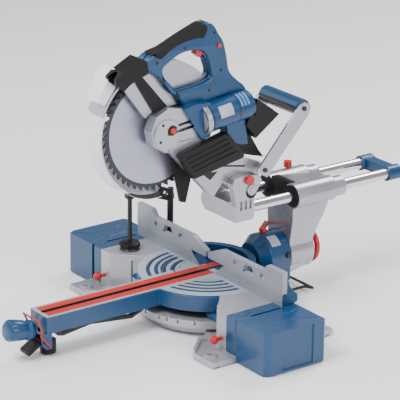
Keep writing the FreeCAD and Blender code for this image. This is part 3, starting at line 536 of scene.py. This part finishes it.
handle_right = slab("handle_right", "blue_plastic", 15, 32, [HANDLE_OUTER, HANDLE_OPENING], 6)
swap(handle_right, "head", "handle_shell_right")
swap(slab("soft_grip", "black_rubber", -0.8, 32.8, [GRIP], 7), "head", "handle_grip")
swap(slab("cover_shell", "black_plastic", 43.5, 64, [COVER], 4, curved=False), "head", "ribbed_cover")
for share in (0.16, 0.36, 0.56, 0.76):
    left = Vector((-112, 375)).lerp(Vector((-80, 327)), share)
    right = Vector((-4, 404)).lerp(Vector((40, 353)), share)
    along = (right - left).normalized()
    step = along * RIB_INSET
    across = Vector((-along.y, along.x)) * RIB_HALF_WIDTH
    bar = [left + step - across, right - step - across, right - step + across, left + step + across]
    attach(slab("cover_rib", "black_plastic", 60, 66, [[tuple(p) for p in bar]], 1.4, curved=False), "head")


def motor_at(share):
    return Vector(MOTOR_FRONT).lerp(Vector(MOTOR_REAR), share)


def motor_ring(name, look, a, b, radius, sweep=(0.0, 360.0)):
    """A band round the motor from share a to share b of its length."""
    thin = radius - 1.2
    profile = [(0.0, thin), (0.08, radius), (0.92, radius), (1.0, thin)]
    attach(lathe(name, look, motor_at(a), motor_at(b), profile, sweep=sweep), "head")


motor_ring("motor_band", "silver_paint", 0.0, 0.10, MOTOR_R + 1.6)
motor_ring("motor_seam", "dark_gap_and_shade", 0.12, 0.14, MOTOR_R + 0.4)
motor_ring("motor_end_seam", "dark_gap_and_shade", 0.70, 0.715, MOTOR_R + 0.4)
for start in (0.745, 0.815, 0.885):
    motor_ring("motor_vent", "vent_blue", start, start + 0.045, MOTOR_R + 1.4, (192, 250))
motor_ring("motor_label", "label", 0.26, 0.58, MOTOR_R + 0.5, (222, 268))

# ---- guard roller, arbor ring, dark slit and painted shade in recesses ------------------------------

GUARD_AXIS = (SPINDLE[1] / MM, SPINDLE[2] / MM)
GUARD_WIDTH = (-33, 12)
ARM_RECESS = (43.2, 43.9)       # from and to in x, just proud of the swing arm's flat side
ARBOR_X = 43.8
PIVOT_X = 61.8
PIVOT_YZ = (PIVOT[1] / MM, PIVOT[2] / MM - 3)


def on_blade_circle(radius, angle):
    turn = math.radians(angle)
    return (GUARD_AXIS[0] + radius * math.cos(turn), GUARD_AXIS[1] + radius * math.sin(turn))


def disc_x(name, look, x0, x1, at, radius, body, rounding):
    """A flat round piece facing along X, its rims rounded."""
    share = rounding / (x1 - x0)
    profile = [(0.0, radius - rounding), (share, radius), (1 - share, radius), (1.0, radius - rounding)]
    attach(lathe(name, look, (x0, *at), (x1, *at), profile, segments=40), body)


LINK = [(141, 236), (141.5, 250), (141.5, 264), (139, 279), (128, 279), (131, 264), (134, 250), (137, 238)]
link_bar = [on_blade_circle(r, a) for r, a in LINK]
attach(slab("guard_link", "black_steel", 8.2, 12.2, [link_bar], 1.5), "lower_guard")
skirt = [(0.0, 136.6), (0.0, 140.8), (1.0, 140.8), (1.0, 136.6), (0.0, 136.6)]
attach(lathe("guard_skirt", "guard_plastic", (GUARD_WIDTH[0], *GUARD_AXIS), (GUARD_WIDTH[1], *GUARD_AXIS),
              skirt, sweep=(65, 75.5)), "lower_guard")
ROLLER = on_blade_circle(132, 276)
disc_x("guard_roller", "black_rubber", 5, 15, ROLLER, 10, "lower_guard", 2)
disc_x("roller_bolt", "steel", 15, 16, ROLLER, 3.5, "lower_guard", 0.4)
disc_x("arbor_ring", "dark_gap_and_shade", ARBOR_X, ARBOR_X + 0.8, (-124, 430), 11, "head", 0.3)
# painted shade: near-black discs in two small hollows on the arbor cover
for dimple_shade in ((-146, 444), (-152, 410)):
    disc_x("arbor_dimple_shade", "dark_gap_and_shade", ARBOR_X, ARBOR_X + 0.6, dimple_shade, 3.2, "head", 0.2)
# painted shade: a near-black sheet on the swing arm's flat side where its recess lies in shade
recess_shade = [(-62, 336), (-28, 306), (-8, 322), (-24, 322), (-24, 332), (-44, 336)]
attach(slab("arm_recess_shade", "dark_gap_and_shade", *ARM_RECESS, [recess_shade], 0.2, curved=False), "head")
slit = [(-60, 341), (-57, 344), (62, 322), (60, 318.5)]
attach(slab("arm_slit", "dark_gap_and_shade", *ARM_RECESS, [slit], 0.2, curved=False), "head")
crescent = (PIVOT[1] / MM, PIVOT[2] / MM - 8)
disc_x("pivot_crescent", "black_plastic", PIVOT_X, PIVOT_X + 1.4, crescent, 14, "slide", 0.5)
disc_x("pivot_boss", "silver_paint", PIVOT_X, PIVOT_X + 3.7, PIVOT_YZ, 12, "slide", 1.2)
disc_x("pivot_bolt", "steel", PIVOT_X + 3.6, PIVOT_X + 5.7, PIVOT_YZ, 5.5, "slide", 0.6)

# ---- painted shade in the handle's screw holes, drum label, carriage wipers and clamp pad -------------
HANDLE_SCREWS = [(-154, 571), (-86, 591), (-14, 612), (4, 532), (-100, 495), (-25, 494), (44, 470)]
# painted shade: near-black discs on the shell's face where the screw holes lie in shade
for spot in HANDLE_SCREWS:
    disc_x("handle_screw_hole_shade", "dark_gap_and_shade", 31.4, 32.3, spot, 3.6, "head", 0.3)

TABLE_TOP_Z = 91.5              # the bevel drum's axis lies in the table's top
drum_label = [(0.0, 50.0), (0.05, 50.7), (0.95, 50.7), (1.0, 50.0)]
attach(lathe("drum_label", "label", (0, 142, TABLE_TOP_Z), (0, 166, TABLE_TOP_Z), drum_label,
              sweep=(200, 232)), "turntable")
disc_x("drum_bolt", "black_steel", 46, 54, (178, 100), 6.5, "turntable", 1.5)

wiper = [(187.6, 213), (187.6, 252), (190, 254.5), (207, 253.5), (211, 250), (211, 213)]
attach(slab("wiper_plate", "black_rubber", -27, 27, [wiper], 1.0, curved=False), "bevel_arm")
RAIL_X, RAIL_Z = 43, 228
ring = [(0.0, 13.2), (0.1, 22), (0.3, 24), (0.8, 24), (1.0, 23)]
for side_x in (-RAIL_X, RAIL_X):
    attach(lathe("wiper_ring", "black_rubber", (side_x, 186.5, RAIL_Z), (side_x, 188.2, RAIL_Z), ring,
                  capped=False), "bevel_arm")

CLAMP_X, CLAMP_Y = -190, -64
pad = [(0.0, 21.5), (0.12, 23), (0.75, 23), (1.0, 18)]
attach(lathe("clamp_pad", "black_plastic", (CLAMP_X, CLAMP_Y, 97), (CLAMP_X, CLAMP_Y, 109), pad,
              segments=8), "clamp_screw")

# ---- detent wire ----------------------------------------------------------------------------------


def wire(name, look, points, radius, body):
    """A round bar bent through the points, in millimetres."""
    curve = bpy.data.curves.new(name, "CURVE")
    curve.dimensions = "3D"
    curve.bevel_depth = radius * MM
    curve.bevel_resolution = 4
    curve.use_fill_caps = True
    spline = curve.splines.new("POLY")
    spline.points.add(len(points) - 1)
    for point, place in zip(spline.points, points):
        point.co = (*[c * MM for c in place], 1.0)
    holder = bpy.data.objects.new(name + "_curve", curve)
    mesh = bpy.data.meshes.new_from_object(holder)
    bpy.data.objects.remove(holder)
    mesh.shade_smooth()
    piece = add_mesh(name, mesh, look)
    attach(piece, body)
    return piece


FORK_LINE = [(-405, 24), (-416, 38), (-426, 50), (-424, 66), (-431, 80), (-435, 87)]    # (y, z)
FORK_HALF = 25.5
FORK_TOE = 18.5
left, right = [[(x, y, z) for y, z in FORK_LINE] for x in (-FORK_HALF, FORK_HALF)]
line = [(-FORK_TOE, *FORK_LINE[0])] + left + right[::-1] + [(FORK_TOE, *FORK_LINE[0])]
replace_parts(wire("detent_wire", "red_plastic", line, 2.0, "detent_fork"), "detent_fork")

# ---- knob ---------------------------------------------------------------------------------------
KNOB_TILT = math.radians(11.5)
KNOB_REACH = (16, 76.5)
knob_way = Vector((0, -math.cos(KNOB_TILT), math.sin(KNOB_TILT)))
knob_root = Vector((0, -415, 55.5))
knob_profile = [(0.0, 16), (0.06, 19.5), (0.20, 21), (0.26, 18), (0.32, 18), (0.38, 20.5), (0.9, 22.5),
                (0.97, 20.5), (1.0, 16)]
knob_start, knob_end = [knob_root + knob_way * reach for reach in KNOB_REACH]
knob = lathe("knob", "blue_plastic", knob_start, knob_end, knob_profile, segments=96, flutes=7, depth=1.3)
swap(knob, "mitre_knob", "mitre_knob")

# ---- camera, floor and light ------------------------------------------------------------------
TARGET = Vector((-0.027, 0.0, 0.2372))
AZIMUTH = math.radians(53.3)
ELEVATION = math.radians(19.7)
ROLL = math.radians(0.8)
DISTANCE = 4.6124
LENS = 200.05
SENSOR = 36.0
LIT = Vector((0.0, 0.0, 0.25))
FLOOR_HALF = 12.0
SKY_STRENGTH = 0.45
# name, place, size in metres and power in watts
LIGHTS = (
    ("key", (0.2, -2.2, 3.0), 1.4, 130),
    ("side", (2.8, 0.4, 1.6), 1.6, 60),
    ("fill", (-2.4, -1.6, 1.8), 2.2, 30),
    ("rim", (-0.6, 2.6, 2.8), 1.6, 90),
)


def place_camera():
    data = bpy.data.cameras.new("camera")
    data.lens = LENS
    data.sensor_width = SENSOR
    camera = bpy.data.objects.new("camera", data)
    bpy.context.scene.collection.objects.link(camera)
    flat = math.cos(ELEVATION)
    back = Vector((math.sin(AZIMUTH) * flat, -math.cos(AZIMUTH) * flat, math.sin(ELEVATION)))
    right = Vector((math.cos(AZIMUTH), math.sin(AZIMUTH), 0.0))
    up = back.cross(right)
    across = right * math.cos(ROLL) + up * math.sin(ROLL)
    upward = up * math.cos(ROLL) - right * math.sin(ROLL)
    turn = Matrix((across, upward, back)).transposed().to_4x4()
    camera.matrix_world = Matrix.Translation(TARGET + back * DISTANCE) @ turn
    bpy.context.scene.camera = camera


def area_light(name, place, size, power):
    data = bpy.data.lights.new(name, "AREA")
    data.shape = "SQUARE"
    data.size = size
    data.energy = power
    light = bpy.data.objects.new(name, data)
    light.location = place
    light.rotation_euler = (Vector(place) - LIT).to_track_quat("Z", "Y").to_euler()
    bpy.context.scene.collection.objects.link(light)


def floor():
    mesh = bpy.data.meshes.new("floor")
    corners = [(x * FLOOR_HALF, y * FLOOR_HALF, 0) for x, y in ((-1, -1), (1, -1), (1, 1), (-1, 1))]
    mesh.from_pydata(corners, [], [(0, 1, 2, 3)])
    plane = bpy.data.objects.new("floor", mesh)
    bpy.context.scene.collection.objects.link(plane)
    pale = bpy.data.materials.new("floor")
    pale.use_nodes = True
    shader = pale.node_tree.nodes["Principled BSDF"]
    shader.inputs["Base Color"].default_value = (0.97, 0.97, 0.97, 1.0)
    shader.inputs["Roughness"].default_value = 0.7
    mesh.materials.append(pale)


def world():
    sky = bpy.data.worlds.new("studio")
    sky.use_nodes = True
    background = sky.node_tree.nodes["Background"]
    background.inputs["Color"].default_value = (1.0, 1.0, 1.0, 1.0)
    background.inputs["Strength"].default_value = SKY_STRENGTH
    bpy.context.scene.world = sky


place_camera()
floor()
world()
for light in LIGHTS:
    area_light(*light)
